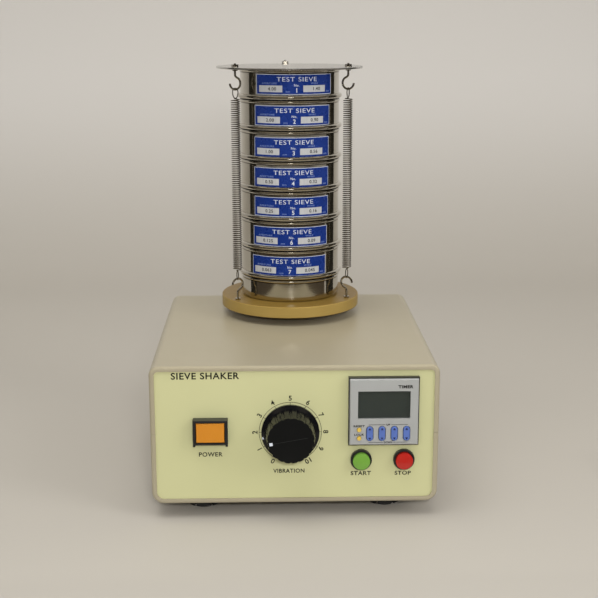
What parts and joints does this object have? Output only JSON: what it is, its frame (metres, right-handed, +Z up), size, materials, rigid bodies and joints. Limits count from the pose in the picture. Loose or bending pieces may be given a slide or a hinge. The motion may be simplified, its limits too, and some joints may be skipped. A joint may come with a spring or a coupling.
{
  "type": "sieve shaker",
  "caption": "Bench-top vibratory sieve shaker: a control case with timer and level knob under a round table that carries a sprung stack of small test sieves.",
  "frame": {"origin": "under the middle of the whole object, on the surface that the feet stand on", "axes": "+Z up along the sieve stack, +X to the user's right, -Y towards the user"},
  "size_m": [0.201, 0.2386, 0.3048],
  "materials": {
    "case_paint": "fine textured warm grey paint",
    "front_panel_paint": "pale yellow satin paint",
    "rear_panel_paint": "fine textured warm grey paint",
    "plated_steel": "bright nickel plate",
    "spring_steel": "bright drawn spring wire",
    "foot_rubber": "matt black",
    "drive_rubber": "matt black",
    "black_plastic": "satin black",
    "orange_plastic": "translucent orange, satin",
    "green_plastic": "glossy green",
    "red_plastic": "glossy red",
    "shaft_metal": "turned",
    "timer_front_plastic": "light grey satin",
    "timer_glass": "clear",
    "display_film": "dark grey-green display",
    "blue_keys": "satin blue",
    "yellow_keys": "satin yellow",
    "circuit_board": "green solder resist",
    "drive_casting": "machined, grey primer",
    "magnet_steel": "stacked laminations",
    "copper_coil": "varnished copper winding",
    "drive_aluminium": "machined",
    "table_resin": "brown phenolic resin, satin",
    "sieve_steel": "polished stainless steel",
    "wire_cloth": "woven stainless wire"
  },
  "bodies": {
    "case": {"upper_cover": "case_paint", "lower_cover": "case_paint", "front_panel": "front_panel_paint", "rear_panel": "rear_panel_paint", "case_screws": "plated_steel", "rubber_feet": "foot_rubber", "power_switch_housing": "black_plastic", "potentiometer_body": "black_plastic", "potentiometer_nut": "plated_steel", "start_button_housing": "black_plastic", "stop_button_housing": "black_plastic", "panel_nuts": "plated_steel", "timer_body": "black_plastic", "timer_front": "timer_front_plastic", "timer_window": "timer_glass", "timer_display": "display_film", "timer_clamp": "black_plastic", "mains_inlet": "black_plastic", "fuse_holder": "black_plastic", "control_board": "circuit_board", "drive_base": "drive_casting", "magnet_core": "magnet_steel", "magnet_coil": "copper_coil", "rubber_springs": "drive_rubber"},
    "table": {"table_disc": "table_resin", "table_screws": "plated_steel", "drive_column": "drive_aluminium", "carrier_plate": "drive_aluminium", "armature": "magnet_steel", "lower_hooks": "plated_steel", "receiver_pan": "sieve_steel", "hold_down_springs": "spring_steel", "sieve_frame_1": "sieve_steel", "sieve_frame_2": "sieve_steel", "sieve_frame_3": "sieve_steel", "sieve_frame_4": "sieve_steel", "sieve_frame_5": "sieve_steel", "sieve_frame_6": "sieve_steel", "sieve_frame_7": "sieve_steel", "sieve_mesh_1": "wire_cloth", "sieve_mesh_2": "wire_cloth", "sieve_mesh_3": "wire_cloth", "sieve_mesh_4": "wire_cloth", "sieve_mesh_5": "wire_cloth", "sieve_mesh_6": "wire_cloth", "sieve_mesh_7": "wire_cloth"},
    "clamp": {"clamp_plate": "sieve_steel", "upper_hooks": "plated_steel", "hook_nuts": "plated_steel"},
    "knob": {"knob": "black_plastic", "potentiometer_shaft": "shaft_metal"},
    "power_button": {"power_switch_button": "orange_plastic"},
    "start_button": {"start_button_cap": "green_plastic"},
    "stop_button": {"stop_button_cap": "red_plastic"},
    "timer_key_1": {"timer_key_1": "blue_keys"},
    "timer_key_2": {"timer_key_2": "blue_keys"},
    "timer_key_3": {"timer_key_3": "blue_keys"},
    "timer_key_4": {"timer_key_4": "blue_keys"},
    "reset_key": {"timer_reset_key": "yellow_keys"},
    "lock_key": {"timer_lock_key": "yellow_keys"}
  },
  "joints": [
    {"name": "table_vibration", "type": "slide", "parent": "case", "child": "table", "axis": [0, 0, 1], "range_m": [-0.001, 0.001], "stiffness_N_per_m": 150000, "deforming": ["rubber_springs"]},
    {"name": "clamp_lift", "type": "slide", "parent": "table", "child": "clamp", "axis": [0, 0, 1], "range_m": [0, 0.012], "stiffness_N_per_m": 900, "springref_m": -0.02, "deforming": ["hold_down_springs"]},
    {"name": "knob_turn", "type": "hinge", "parent": "case", "child": "knob", "pos_m": [-0.0031, -0.1013, 0.0622], "axis": [0, 1, 0], "range_deg": [-54, 246]},
    {"name": "power_press", "type": "slide", "parent": "case", "child": "power_button", "axis": [0, 1, 0], "range_m": [0, 0.0025], "stiffness_N_per_m": 800, "springref_m": -0.001},
    {"name": "start_press", "type": "slide", "parent": "case", "child": "start_button", "axis": [0, 1, 0], "range_m": [0, 0.0015], "stiffness_N_per_m": 800, "springref_m": -0.001},
    {"name": "stop_press", "type": "slide", "parent": "case", "child": "stop_button", "axis": [0, 1, 0], "range_m": [0, 0.0015], "stiffness_N_per_m": 800, "springref_m": -0.001},
    {"name": "timer_key_1_rock", "type": "hinge", "parent": "case", "child": "timer_key_1", "pos_m": [0.0507, -0.1057, 0.0625], "axis": [1, 0, 0], "range_deg": [-4, 4], "stiffness_Nm_per_rad": 0.05},
    {"name": "timer_key_2_rock", "type": "hinge", "parent": "case", "child": "timer_key_2", "pos_m": [0.05905, -0.1057, 0.0625], "axis": [1, 0, 0], "range_deg": [-4, 4], "stiffness_Nm_per_rad": 0.05},
    {"name": "timer_key_3_rock", "type": "hinge", "parent": "case", "child": "timer_key_3", "pos_m": [0.0674, -0.1057, 0.0625], "axis": [1, 0, 0], "range_deg": [-4, 4], "stiffness_Nm_per_rad": 0.05},
    {"name": "timer_key_4_rock", "type": "hinge", "parent": "case", "child": "timer_key_4", "pos_m": [0.07575, -0.1057, 0.0625], "axis": [1, 0, 0], "range_deg": [-4, 4], "stiffness_Nm_per_rad": 0.05},
    {"name": "timer_reset_press", "type": "slide", "parent": "case", "child": "reset_key", "axis": [0, 1, 0], "range_m": [0, 0.0005], "stiffness_N_per_m": 600, "springref_m": -0.0005},
    {"name": "timer_lock_press", "type": "slide", "parent": "case", "child": "lock_key", "axis": [0, 1, 0], "range_m": [0, 0.0005], "stiffness_N_per_m": 600, "springref_m": -0.0005}
  ]
}
